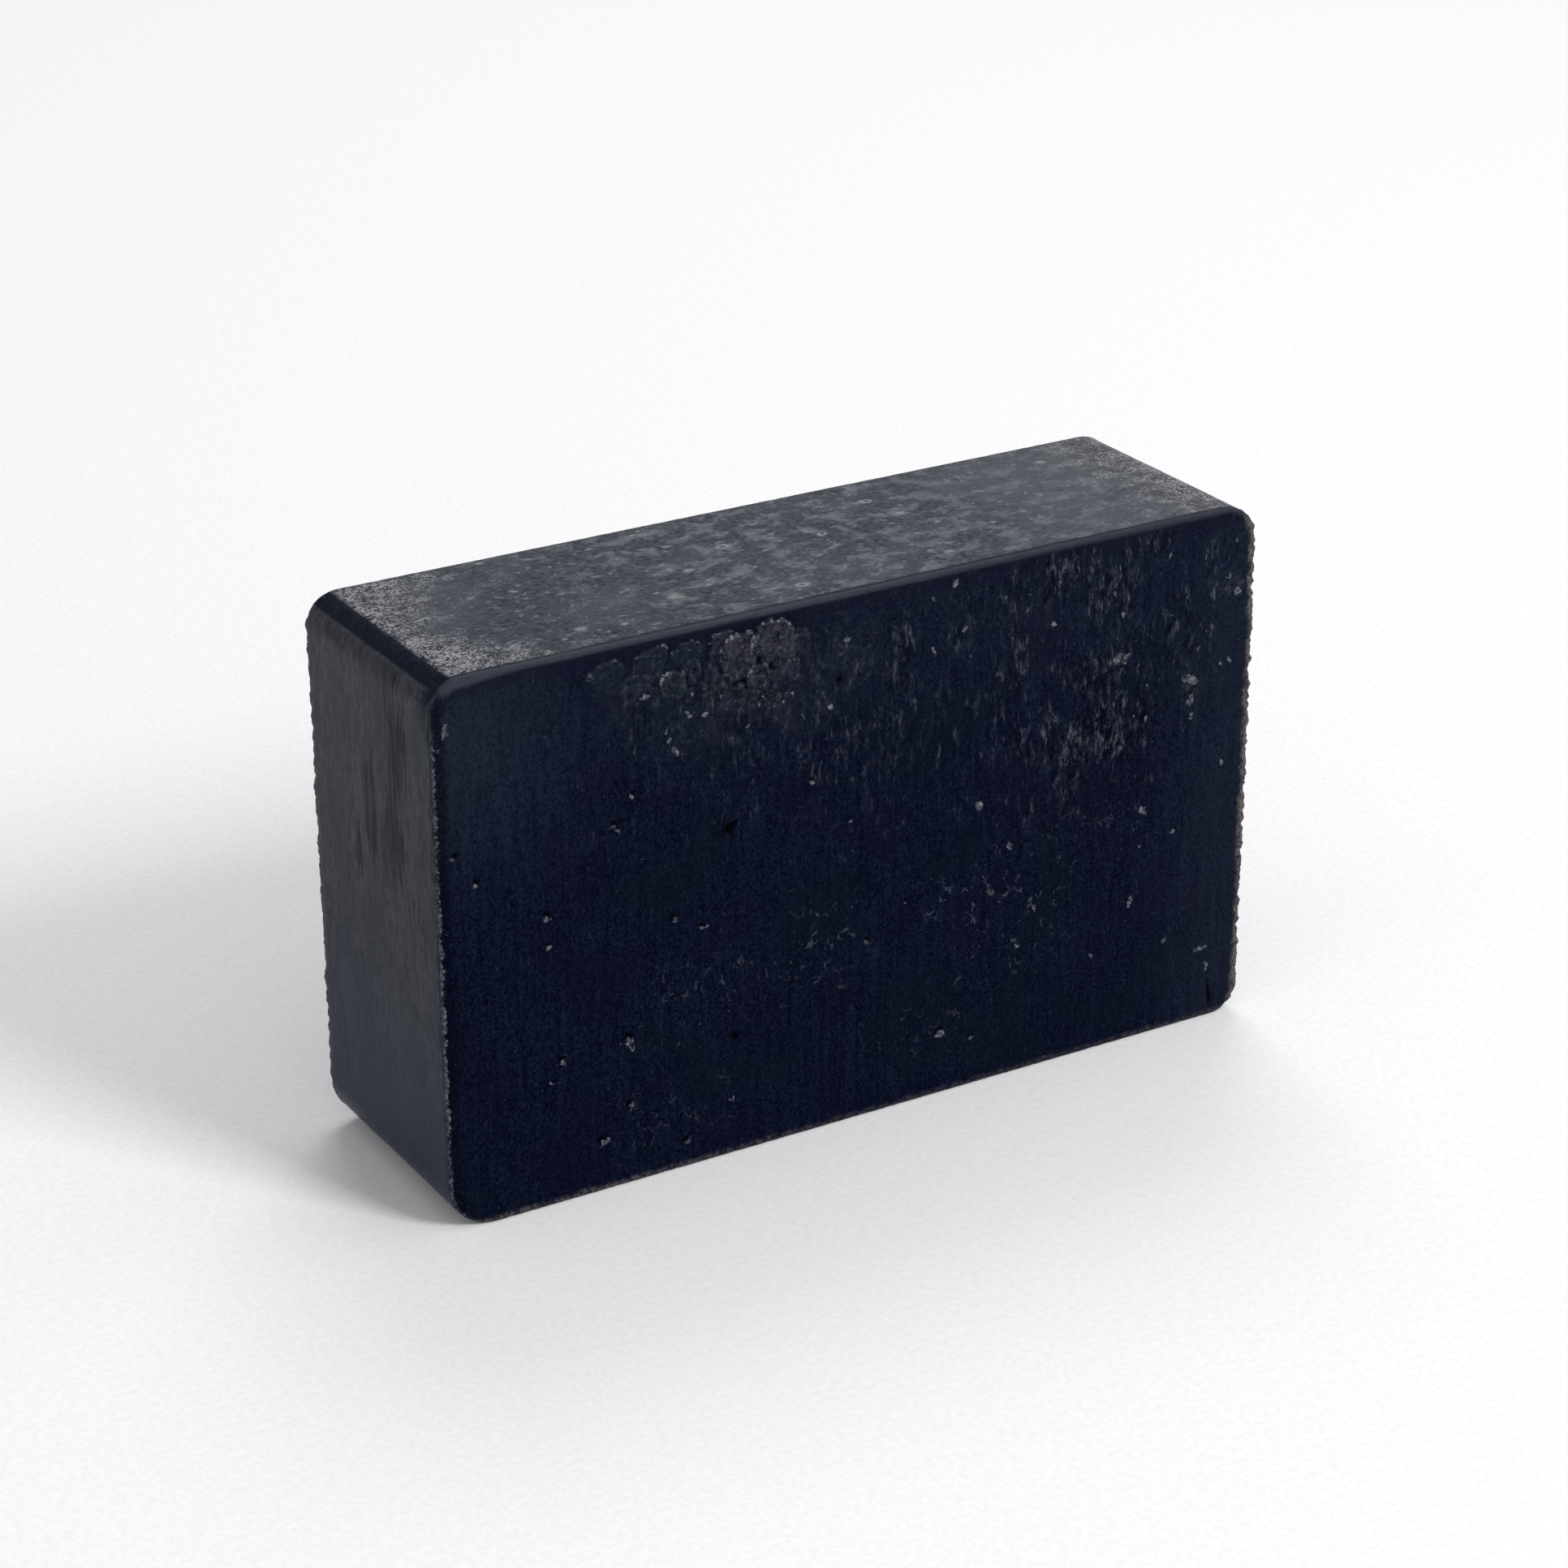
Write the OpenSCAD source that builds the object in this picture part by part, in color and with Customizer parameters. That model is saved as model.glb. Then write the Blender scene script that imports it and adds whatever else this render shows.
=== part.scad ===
// Charcoal bar: one solid block, cast with rounded edges in a loaf mould, then sliced with a wire
// on its two broad faces. It stands on its long narrow side.
// +Z is up, the base is at z = 0, and the origin is the centre of the base.
// -Y is the front broad face, and +X is the bar's right-hand end.

/* [Bar] */
// Length of the bar from its left end to its right end
bar_length = 90; // [60:1:120]
// Height of the bar from its base to its top side
bar_height = 55; // [35:1:80]
// Thickness of the bar between its two wire-cut broad faces
bar_thickness = 26; // [15:1:40]

/* [Moulded edges] */
// Radius of the upper left edge
upper_left_r = 3.2; // [1:0.1:7]
// Radius of the upper right edge
upper_right_r = 3.7; // [1:0.1:7]
// Radius of the lower left edge
lower_left_r = 5; // [1:0.1:7]
// Radius of the lower right edge
lower_right_r = 3.2; // [1:0.1:7]

/* [Trimmed edge] */
// Width of the bevel trimmed along the top edge of the front face
front_bevel = 0.8; // [0.2:0.1:2]

/* [Hidden] */

bar_colour = [0.055, 0.07, 0.11];
cut_margin = 1;
edge_facets = 96;
half_length = bar_length / 2;
half_thickness = bar_thickness / 2;

// The square corner that rounding removes from an edge. It runs along Y through the whole bar,
// with the sharp corner on the Y axis and the bar's material towards +X and +Z.
module edge_waste(r) {
    translate([0, half_thickness + cut_margin, 0])
        rotate([90, 0, 0])
            linear_extrude(bar_thickness + 2 * cut_margin)
                difference() {
                    translate([-cut_margin, -cut_margin])
                        square(r + cut_margin);
                    translate([r, r])
                        circle(r, $fn = edge_facets);
                }
}

// Moves edge waste to an edge: side is -1 on the left and 1 on the right,
// and level is -1 at the base and 1 at the top.
module at_edge(side, level) {
    translate([side * half_length, 0, level > 0 ? bar_height : 0])
        mirror([side > 0 ? 1 : 0, 0, 0])
            mirror([0, 0, level > 0 ? 1 : 0])
                children();
}

// The long prism that the bevel removes from the front face's top edge
module bevel_waste() {
    bevel_reach = front_bevel + cut_margin;
    translate([-half_length - cut_margin, -half_thickness, bar_height])
        rotate([90, 0, 90])
            linear_extrude(bar_length + 2 * cut_margin)
                polygon([
                    [-cut_margin, -bevel_reach],
                    [bevel_reach, cut_margin],
                    [-cut_margin, cut_margin]
                ]);
}

module bar() {
    color(bar_colour)
        difference() {
            translate([-half_length, -half_thickness, 0])
                cube([bar_length, bar_thickness, bar_height]);
            at_edge(-1, 1) edge_waste(upper_left_r);
            at_edge(1, 1) edge_waste(upper_right_r);
            at_edge(-1, -1) edge_waste(lower_left_r);
            at_edge(1, -1) edge_waste(lower_right_r);
            bevel_waste();
        }
}

bar();
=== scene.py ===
"""A bar of charcoal, cast with rounded edges and wire-cut on its two broad faces, on a pale floor."""

import math

import bpy
import numpy as np
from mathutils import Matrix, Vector


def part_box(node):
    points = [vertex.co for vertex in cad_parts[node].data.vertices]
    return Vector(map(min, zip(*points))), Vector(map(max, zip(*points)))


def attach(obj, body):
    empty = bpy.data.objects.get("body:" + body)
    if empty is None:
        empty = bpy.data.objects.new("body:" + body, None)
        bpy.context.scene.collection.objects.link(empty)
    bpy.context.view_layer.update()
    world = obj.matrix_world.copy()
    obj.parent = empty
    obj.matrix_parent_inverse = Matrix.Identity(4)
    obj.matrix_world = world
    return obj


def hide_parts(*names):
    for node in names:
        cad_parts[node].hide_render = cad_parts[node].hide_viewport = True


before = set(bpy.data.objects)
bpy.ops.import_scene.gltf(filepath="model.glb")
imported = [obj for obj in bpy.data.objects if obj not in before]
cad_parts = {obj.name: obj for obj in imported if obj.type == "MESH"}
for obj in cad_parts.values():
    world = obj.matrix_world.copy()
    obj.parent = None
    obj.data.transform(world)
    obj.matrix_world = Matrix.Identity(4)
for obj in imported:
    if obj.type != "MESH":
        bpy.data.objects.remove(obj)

MM = 0.001

# The grid that the bar is built on, in millimetres, and the triangles that it keeps
CELL = 0.2
EDGE_CELL = 0.16
SIDE_CELL = 0.42
TRIANGLES = 190000

# Seeds of the random draws for the two cut faces, and for what is scattered on the back one
FRONT_SEED, BACK_SEED, SCATTER_SEED = 100, 300, 7

# How far the bare block lies inside the CAD block, so that lumps and crumbs stay inside it too
SKIN = {"left": 0.12, "right": 0.22, "front": 0.1, "back": 0.1, "top": 0.18, "base": 0.0}

# Radii of the block's four moulded edges in mm
RADII = {"upper_left": 3.2, "upper_right": 3.7, "lower_left": 5.0, "lower_right": 3.2}


# ---- noise

def fade(t):
    """The quintic ease from 0 to 1."""
    return t * t * t * (t * (t * 6 - 15) + 10)


def step(low, high, value):
    """0 below low, 1 above high, and a smooth ease between. low may be above high."""
    t = np.clip((value - low) / (high - low), 0, 1)
    return t * t * (3 - 2 * t)


def gradient_noise(points, seed):
    """Smooth noise of about -1 to 1 at points, an (n, 3) array in noise cells."""
    rng = np.random.default_rng(seed)
    shuffle = rng.permutation(256)
    directions = rng.normal(size=(256, 3))
    directions /= np.linalg.norm(directions, axis=1)[:, None]
    cell = np.floor(points).astype(int)
    local = points - cell
    weight = fade(local)
    total = np.zeros(len(points))
    for dx in (0, 1):
        for dy in (0, 1):
            for dz in (0, 1):
                key = shuffle[(cell[:, 0] + dx) & 255]
                key = shuffle[(key + cell[:, 1] + dy) & 255]
                key = shuffle[(key + cell[:, 2] + dz) & 255]
                offset = local - (dx, dy, dz)
                value = (directions[key] * offset).sum(1)
                wx = weight[:, 0] if dx else 1 - weight[:, 0]
                wy = weight[:, 1] if dy else 1 - weight[:, 1]
                wz = weight[:, 2] if dz else 1 - weight[:, 2]
                total += value * wx * wy * wz
    return total * 1.6


def layered(points, cell, seed, octaves=3, gain=0.5):
    """Gradient noise in octaves. cell is the size of the largest lumps in mm, one number or x, y, z."""
    total = np.zeros(len(points))
    strength = 1.0
    for octave in range(octaves):
        total += strength * gradient_noise(points / np.asarray(cell, float) * 2 ** octave, seed + octave)
        strength *= gain
    return total


def cells(u, v, size, seed, jitter=0.9):
    """Cellular pattern in a plane: distance to the nearest point, to the next, and that point's id."""
    rng = np.random.default_rng(seed)
    table = rng.random((64, 64, 3))
    su, sv = u / size, v / size
    cu, cv = np.floor(su).astype(int), np.floor(sv).astype(int)
    first = np.full(len(u), 9.0)
    second = np.full(len(u), 9.0)
    own = np.zeros((len(u), 3))
    for du in (-1, 0, 1):
        for dv in (-1, 0, 1):
            seedling = table[(cu + du) & 63, (cv + dv) & 63]
            pu = cu + du + 0.5 + (seedling[:, 0] - 0.5) * jitter
            pv = cv + dv + 0.5 + (seedling[:, 1] - 0.5) * jitter
            distance = np.hypot(su - pu, sv - pv)
            closer = distance < first
            second = np.where(closer, first, np.minimum(second, distance))
            own[closer] = np.stack([seedling[:, 2], pu * size, pv * size], 1)[closer]
            first = np.where(closer, distance, first)
    return first, second, own


# ---- the bare block

def bare_block():
    """The faces of the bare block in mm, from the CAD node's own box."""
    low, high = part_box("bar")
    return {
        "left": low.x / MM + SKIN["left"],
        "right": high.x / MM - SKIN["right"],
        "front": low.y / MM + SKIN["front"],
        "back": high.y / MM - SKIN["back"],
        "base": low.z / MM + SKIN["base"],
        "top": high.z / MM - SKIN["top"],
    }


def corner_frame(block):
    """The middle and half sizes of the block's outline, seen from the front."""
    cx = (block["left"] + block["right"]) / 2
    cz = (block["base"] + block["top"]) / 2
    return cx, cz, block["right"] - cx, block["top"] - cz


def corner_radius(block, x, z):
    """The mould radius of the corner nearest to each point."""
    cx, cz, _, _ = corner_frame(block)
    upper = np.where(x < cx, RADII["upper_left"], RADII["upper_right"])
    lower = np.where(x < cx, RADII["lower_left"], RADII["lower_right"])
    return np.where(z > cz, upper, lower)


def round_corners(block, x, z):
    """Draws the square corners of a grid in to the rounded outline."""
    cx, cz, hx, hz = corner_frame(block)
    r = corner_radius(block, x, z)
    sx, sz = np.where(x < cx, -1.0, 1.0), np.where(z < cz, -1.0, 1.0)
    px = np.abs(x - cx) - (hx - r)
    pz = np.abs(z - cz) - (hz - r)
    corner = (px > 0) & (pz > 0)
    pull = np.where(corner, np.maximum(px, pz) / np.maximum(np.hypot(px, pz), 1e-9), 1)
    new_x = np.where(corner, cx + sx * (hx - r + px * pull), x)
    new_z = np.where(corner, cz + sz * (hz - r + pz * pull), z)
    return new_x, new_z


def outline_depth(block, x, z):
    """How far each point lies inside the rounded outline, and the outward direction there."""
    cx, cz, hx, hz = corner_frame(block)
    r = corner_radius(block, x, z)
    sx, sz = np.where(x < cx, -1.0, 1.0), np.where(z < cz, -1.0, 1.0)
    qx = np.abs(x - cx) - (hx - r)
    qz = np.abs(z - cz) - (hz - r)
    corner = (qx > 0) & (qz > 0)
    reach = np.hypot(qx, qz)
    depth = np.where(corner, r - reach, r - np.maximum(qx, qz))
    side = qx > qz
    nx = np.where(corner, sx * qx / np.maximum(reach, 1e-9), np.where(side, sx, 0.0))
    nz = np.where(corner, sz * qz / np.maximum(reach, 1e-9), np.where(side, 0.0, sz))
    return depth, nx, nz


def by_side(nx, nz, left, right, top, base):
    """Blends four numbers, one for each side of the outline, by the outward direction."""
    across, along = nx * nx, nz * nz
    return across * np.where(nx < 0, left, right) + along * np.where(nz > 0, top, base)


def spaced(length, edge, middle):
    """Places from 0 to 1 along a length: cells of about edge at both ends and of middle between."""
    places = [0.0]
    while places[-1] < length / 2:
        reach = min(places[-1] / 3.0, 1.0)
        places.append(places[-1] + edge + (middle - edge) * reach)
    half = np.array(places) / places[-1] / 2
    return np.concatenate([half, 1 - half[-2::-1]])


# ---- the cut faces

# The places in these lists were picked on the photo and turned into mm by a fitted camera.

# Lobes that the wire tore up along the top of the front face: x, z, half width, half height, strength
LOBES = [(-27.2, 52.1, 1.9, 1.3, 0.45), (-23.0, 52.4, 1.8, 1.4, 0.55), (-24.4, 50.7, 1.7, 0.9, 0.5),
         (-19.1, 52.7, 1.5, 1.1, 0.55), (-18.7, 51.0, 1.0, 0.9, 0.5), (-20.6, 49.9, 1.4, 1.2, 0.8),
         (-15.7, 52.9, 1.3, 1.0, 0.7), (-13.6, 51.6, 1.9, 1.8, 1.0), (-10.1, 51.6, 2.6, 2.5, 0.95),
         (-7.0, 51.2, 0.9, 1.4, 0.6), (-11.6, 48.9, 1.4, 1.1, 0.7), (-8.2, 48.9, 1.0, 0.8, 0.6)]

# Where the front face is scaly, streaked or crackled: x, z, half width, half height, strength
SCALY = [(-22, 49.5, 7, 3, 0.5), (-13, 48.5, 6, 3.5, 1.0), (-19, 45.5, 4, 3, 0.5), (-2, 49, 3.5, 4, 0.6),
         (-6, 45, 3.5, 3.5, 0.4), (37.3, 36.5, 1.3, 3, 0.9), (28.8, 41.9, 1.6, 1, 0.8),
         (41.8, 47, 1.6, 1.8, 0.8)]
STREAKED = [(10, 44, 34, 14, 0.3), (-14, 46, 13, 6, 0.3), (11, 50, 4, 4, 0.7), (22, 51, 6, 3.5, 0.9),
            (28, 50, 4, 3.5, 0.7), (33.5, 53, 2.5, 1.8, 0.7), (40, 49.5, 3.5, 4.5, 0.8),
            (36, 43, 4.5, 5, 0.7), (27, 35, 9, 4.5, 1.0), (28, 40, 7, 4, 0.7), (17, 44, 4, 6, 0.4),
            (-4, 43, 6, 5, 0.25), (24, 29, 8, 4.5, 0.4), (3, 50, 2.5, 4, 0.6)]
CRACKLED = [(14, 20, 8, 5, 0.8), (-5, 19, 5, 5, 0.65), (-18, 17, 8, 4.5, 0.6), (16, 14.5, 8, 4, 0.6),
            (-22, 6, 8, 4, 0.45), (5, 7.5, 8, 4, 0.35), (26, 24, 8, 5, 0.4)]

# Pits of the front face, each with painted shade in its hollow and a pale crumb: x, z, radius
PITS = [(-34, 30, 0.5), (-21, 26.5, 0.4), (-18, 25, 0.35), (-41, 35, 0.4), (-26, 15.5, 0.6), (-33, 15, 0.45),
        (-26, 8.5, 0.4), (-29, 5.5, 0.5), (-20, 3, 0.4), (8.5, 7, 0.5), (12, 5.5, 0.3), (-27, 37.5, 0.4),
        (-25, 40, 0.35), (-2, 32, 0.3), (0, 19, 0.35), (-34, 27, 0.3), (-34, 13, 0.25), (-6, 37, 0.3),
        (-43, 38, 0.4), (4.5, 22, 0.3)]

# Pale crumbs on the front face: x, z, half width, half height
CRUMBS = [(-23.5, 49.2, 0.6, 0.25), (-19, 46.4, 0.25, 0.45), (-17.4, 46.1, 0.4, 0.15),
          (-20.5, 43.3, 0.3, 0.7),
          (-7, 43.7, 0.15, 0.4), (-4.1, 44, 0.45, 0.3), (-2.2, 50.3, 0.4, 0.3), (9.6, 53.4, 0.4, 0.7),
          (10.7, 48.8, 0.3, 0.4), (20.8, 47.1, 0.35, 0.3), (28.5, 42, 0.5, 0.7), (29.4, 41.8, 0.4, 0.6),
          (38.6, 50.8, 0.2, 0.6), (41.4, 47.9, 0.35, 0.4), (42.5, 46.1, 0.4, 0.5), (37.1, 38, 0.9, 0.7),
          (37.4, 36, 0.4, 0.8), (37.4, 33.9, 0.25, 0.4), (32, 25.1, 0.4, 0.5), (35.6, 21.9, 0.4, 0.15),
          (30.8, 15.4, 0.25, 0.7), (35.1, 10.1, 0.4, 0.5), (12.6, 30.1, 0.4, 0.6), (16.2, 25, 0.25, 0.6),
          (17.3, 14, 0.35, 0.3), (39.5, 8, 0.9, 0.5), (40.5, 5.8, 0.3, 0.6), (-43.6, 50.1, 0.35, 0.6),
          (-44.2, 48.4, 0.25, 0.4), (-15, 6, 0.35, 0.35)]

# Clefts in the front face, painted black as shade: x, z, half width, half height
CLEFTS = [(-15, 34, 0.7, 0.25), (-14.7, 34.3, 0.3, 0.45), (-14.5, 12.6, 0.45, 0.3), (-11.6, 50.2, 0.3, 0.6),
          (-10.4, 49.4, 0.2, 0.4), (41.1, 2.6, 0.08, 1.7), (-3, 46.5, 0.3, 0.3)]


def at_depth(x, z, y=0.0):
    """Points of a face, all at the same y, for its noise."""
    return np.stack([x, np.full(len(x), float(y)), z], 1)


def raise_mask(mask, near, value):
    """Raises a mask to a value at the points near a place."""
    mask[near] = np.maximum(mask[near], value)


def patch(x, z, places, seed):
    """How strongly each point belongs to the listed patches, with ragged borders."""
    points = at_depth(x, z, 7)
    ragged = 0.5 * layered(points, 4.0, seed) + 0.3 * layered(points, 1.1, seed + 9)
    total = np.zeros(len(x))
    for px, pz, half_w, half_h, strength in places:
        reach = np.hypot((x - px) / half_w, (z - pz) / half_h) + ragged
        total = np.maximum(total, strength * step(1.25, 0.4, reach))
    return total


def scales(x, z, size, seed):
    """Torn crumbs that overlap like scales: height from 0 to 1, high at each upper rim."""
    warp = layered(at_depth(x, z), size * 1.5, seed + 5, 2)
    first, second, own = cells(x + warp * size * 0.35, z + warp * size * 0.3, size, seed)
    tilt = np.clip(0.5 + (z - own[:, 2]) / size, 0, 1)
    seam = step(0.0, 0.2, second - first)
    return (0.4 * own[:, 0] + 0.6 * tilt) * (0.2 + 0.8 * seam)


def drag_marks(x, z, seed):
    """The fine upright streaks that the cutting wire leaves, of about -1 to 1."""
    lean = layered(at_depth(x, z), 22.0, seed + 40, 2)
    points = at_depth(x + 0.4 * lean, z, 3)
    broad = layered(points, (1.6, 1, 14.0), seed, 2)
    fine = layered(points, (0.55, 1, 4.0), seed + 3, 2)
    grain = layered(points, (0.5, 1, 1.2), seed + 6, 2)
    return 0.4 * broad + 0.3 * fine + 0.4 * grain


def near_point(x, z, px, pz, reach):
    """The points of a face that lie within reach of a place."""
    return np.flatnonzero((np.abs(x - px) < reach) & (np.abs(z - pz) < reach))


def wobble(angle, rng, strength):
    """An uneven outline: a small random factor that changes round a place."""
    return 1 + sum(rng.normal(0, strength) * np.cos(k * angle + rng.uniform(0, 6)) for k in (1, 2, 3, 4))


def crumbled(x, z, near, reach, strength):
    """The reach from a place, made ragged by fine noise."""
    points = at_depth(x[near], z[near], 9)
    return reach + strength * layered(points, 0.55, 83, 2)


def raise_lobe(face, x, z, place, rng):
    """A torn flap with a steep upper rim, which fades out downwards. Its upper rim gets a painted highlight,
    and a ring just outside its upper side gets painted shade.
    """
    px, pz, half_w, half_h, strength = place
    near = near_point(x, z, px, pz, 2.6 * max(half_w, half_h))
    u, v = (x[near] - px) / half_w, (z[near] - pz) / half_h
    v = np.where(v < 0, 0.5 * v, v)
    angle = np.arctan2(v, u)
    reach = np.hypot(u, v) * wobble(angle, rng, 0.06)
    reach += 0.12 * layered(at_depth(x[near], z[near]), 0.8, 77, 2)
    inside = step(1.06, 0.86, reach)
    fade_down = step(-1.15, 0.1, v)
    crumbly = 0.5 + 0.5 * layered(at_depth(x[near], z[near], 3), 0.7, 79, 2)
    lift = strength * (0.26 + 0.14 * crumbly) * inside * fade_down * (0.55 + 0.45 * step(0.2, 1.0, reach))
    raise_mask(face["height"], near, lift)
    # Painted highlight on the flap's upper rim, carried by the pale mask
    rim = step(0.2, 0.03, np.abs(reach - 0.93)) * step(-0.1, 0.6, v - 0.35 * u) * step(0.3, 0.55, crumbly)
    raise_mask(face["torn"], near, strength * inside * fade_down)
    raise_mask(face["pale"], near, 0.75 * strength * rim)
    # Painted shade in a ring just outside the flap's upper side
    outer = step(1.35, 1.08, reach) * step(0.9, 1.05, reach) * step(0.1, 0.6, v)
    raise_mask(face["hollow_shade"], near, 0.6 * strength * outer)


def sink_pit(face, x, z, place, rng):
    """Sinks one pit into the face, paints shade in its hollow, and raises a pale crumb at its lower rim."""
    px, pz, radius = place
    near = near_point(x, z, px, pz, 4 * radius)
    u, v = (x[near] - px) / radius, (z[near] - pz) / radius
    angle = np.arctan2(v, u)
    reach = np.hypot(u, v) * wobble(angle, rng, 0.12)
    hole = step(1.1, 0.4, reach)
    side = rng.uniform(-2.6, -0.5)
    lip_u, lip_v = 0.8 * math.cos(side), 0.8 * math.sin(side)
    crumb = step(0.75, 0.3, crumbled(x, z, near, np.hypot(u - lip_u, (v - lip_v) * 1.2), 0.25))
    rim = step(0.45, 0.0, np.abs(reach - 1.1)) * step(-0.2, 0.9, np.cos(angle - side))
    face["height"][near] += radius * (0.3 * crumb + 0.15 * rim - 0.7 * hole * (1 - crumb))
    raise_mask(face["hollow_shade"], near, hole * (1 - crumb))
    raise_mask(face["pale"], near, np.maximum(0.9 * crumb, 0.5 * rim))


def drop_crumb(face, x, z, place, rng):
    """Raises an uneven pale crumb."""
    px, pz, half_w, half_h = place
    near = near_point(x, z, px, pz, 2.5 * max(half_w, half_h) + 0.3)
    lean = rng.uniform(-0.5, 0.5)
    u = (x[near] - px + lean * (z[near] - pz)) / (half_w + 0.05)
    v = (z[near] - pz) / (half_h + 0.05)
    reach = crumbled(x, z, near, np.hypot(u, v) * wobble(np.arctan2(v, u), rng, 0.06), 0.35)
    lump = step(1.1, 0.45, reach)
    face["height"][near] += 0.22 * (0.3 + min(half_w, half_h)) * lump
    raise_mask(face["pale"], near, rng.uniform(0.45, 0.85) * lump)


def open_cleft(face, x, z, place, rng):
    """Cuts a cleft and paints it black as shade."""
    px, pz, half_w, half_h = place
    near = near_point(x, z, px, pz, 2 * max(half_w, half_h) + 0.3)
    lean = rng.uniform(-0.4, 0.4)
    u = (x[near] - px + lean * (z[near] - pz)) / (half_w + 0.12)
    v = (z[near] - pz) / (half_h + 0.12)
    hole = step(1.1, 0.4, np.hypot(u, v) * wobble(np.arctan2(v, u), rng, 0.15))
    face["height"][near] -= 0.35 * hole
    face["pale"][near] *= 1 - hole
    raise_mask(face["hollow_shade"], near, hole)


def loose_crumbs(rng):
    """Small crumbs where the face is torn or streaked: x, z, half width, half height."""
    zones = [(14, -25, -4, 44, 50), (7, 5, 20, 44, 53), (16, 27, 43, 34, 53), (7, 10, 42, 8, 30)]
    return [(rng.uniform(left, right), rng.uniform(low, high), rng.uniform(0.04, 0.2), rng.uniform(0.1, 0.5))
            for count, left, right, low, high in zones for _ in range(count)]


def blurred(grid, reach):
    """The mean over a square of 2 * reach + 1 grid points on each side."""
    for axis in (0, 1):
        padded = np.concatenate([np.repeat(grid.take([0], axis), reach + 1, axis), grid,
                                 np.repeat(grid.take([-1], axis), reach, axis)], axis)
        total = np.cumsum(padded, axis)
        width = 2 * reach + 1
        count = grid.shape[axis]
        grid = (total.take(range(width, width + count), axis) - total.take(range(count), axis)) / width
    return grid


def cut_face(x, z, depth, shape, places, seed):
    """Relief in mm and masks of a cut face. depth is the distance inside the outline."""
    rng = np.random.default_rng(seed)
    points = at_depth(x, z, 5)
    scaly = patch(x, z, places["scaly"], seed + 1)
    streaked = patch(x, z, places["streaked"], seed + 2)
    crackled = patch(x, z, places["crackled"], seed + 3)
    face = {name: np.zeros(len(x)) for name in ("height", "torn", "pale", "hollow_shade")}
    for place in places["lobes"]:
        raise_lobe(face, x, z, place, rng)

    scale_relief = 0.6 * scales(x, z, 1.3, seed + 30) + 0.4 * scales(x, z, 0.7, seed + 31)
    streak_relief = scales(x, z * 0.32, 0.5, seed + 32)
    streaks = layered(points, (0.6, 1, 1.8), seed + 33, 3)
    face["height"] += scaly * 0.3 * (scale_relief - 0.4)
    face["height"] += streaked * (0.12 * (streak_relief - 0.4) + 0.05 * streaks)
    face["torn"] = np.maximum(face["torn"], 0.4 * scaly)

    warp = layered(points, 1.6, seed + 36, 2)
    first, second, _ = cells(x * 0.75 + 0.3 * warp, z * 1.2 + 0.3 * warp, 0.95, seed + 34)
    face["height"] += crackled * 0.05 * step(0.16, 0.0, second - first)
    face["height"] += 0.02 * drag_marks(x, z, seed + 20)

    # Painted light from the relief: ridges get pale dust with a painted highlight, and hollows get painted
    # shade
    grid = face["height"].reshape(shape)
    local = (grid - blurred(grid, 3)).ravel()
    loose = np.clip(scaly + streaked, 0, 1)
    face["ridge_dust_and_highlight"] = loose * step(0.02, 0.07, local + 0.02 * streaks)
    face["hollow_shade"] = np.maximum(face["hollow_shade"], loose * step(-0.03, -0.09, local))
    face["streaked"] = np.maximum(streaked, 0.6 * scaly)
    face["crackled"] = crackled
    calm = step(0.1, 1.3, depth)
    for name in face:
        face[name] *= calm
    for place in places["pits"]:
        sink_pit(face, x, z, place, rng)
    for place in places["crumbs"] + loose_crumbs(rng):
        drop_crumb(face, x, z, place, rng)
    for place in places["clefts"]:
        open_cleft(face, x, z, place, rng)
    face["height"] += 0.05 * layered(points, 22.0, seed + 11, 2) * step(0.0, 4.0, depth)
    return face


def scatter(rng, count, low_z, high_z, half_w, half_h):
    """Patches at random places: x, z, half width, half height, strength."""
    return [(rng.uniform(-38, 38), rng.uniform(low_z, high_z), rng.uniform(*half_w), rng.uniform(*half_h),
             rng.uniform(0.4, 1.0)) for _ in range(count)]


def back_places(rng):
    """Patches, pits and crumbs of the back face, scattered in the same manner as those in front."""
    crumbs = [(rng.uniform(-40, 40), rng.uniform(4, 52), rng.uniform(0.15, 0.5), rng.uniform(0.15, 0.6))
              for _ in range(46)]
    return {
        "lobes": [(-30 + 4.1 * i + rng.uniform(-1, 1), rng.uniform(50, 52.6), rng.uniform(1, 2.3),
                   rng.uniform(0.9, 2.2), rng.uniform(0.4, 0.9)) for i in range(14)],
        "scaly": scatter(rng, 6, 43, 50, (2, 6), (2, 3.5)),
        "streaked": scatter(rng, 11, 26, 51, (3, 8), (3, 5)),
        "crackled": scatter(rng, 7, 5, 22, (3, 6), (2, 3)),
        "pits": [(rng.uniform(-42, 42), rng.uniform(3, 46), rng.uniform(0.3, 0.6)) for _ in range(22)],
        "crumbs": crumbs,
        "clefts": [(rng.uniform(-36, 36), rng.uniform(8, 46), rng.uniform(0.2, 0.7), rng.uniform(0.2, 0.5))
                   for _ in range(6)],
    }


# ---- the whole skin

# Where handling has rubbed the left end dark: y, z, half width, half height, strength
SCUFFS = [(-5.5, 46, 3.5, 9, 0.8), (-4.5, 36, 4, 6, 0.9), (0.3, 38.5, 1.8, 8, 1.0), (3.5, 33, 1.2, 4, 0.8),
          (-8, 30, 3, 4, 0.4)]


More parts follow.
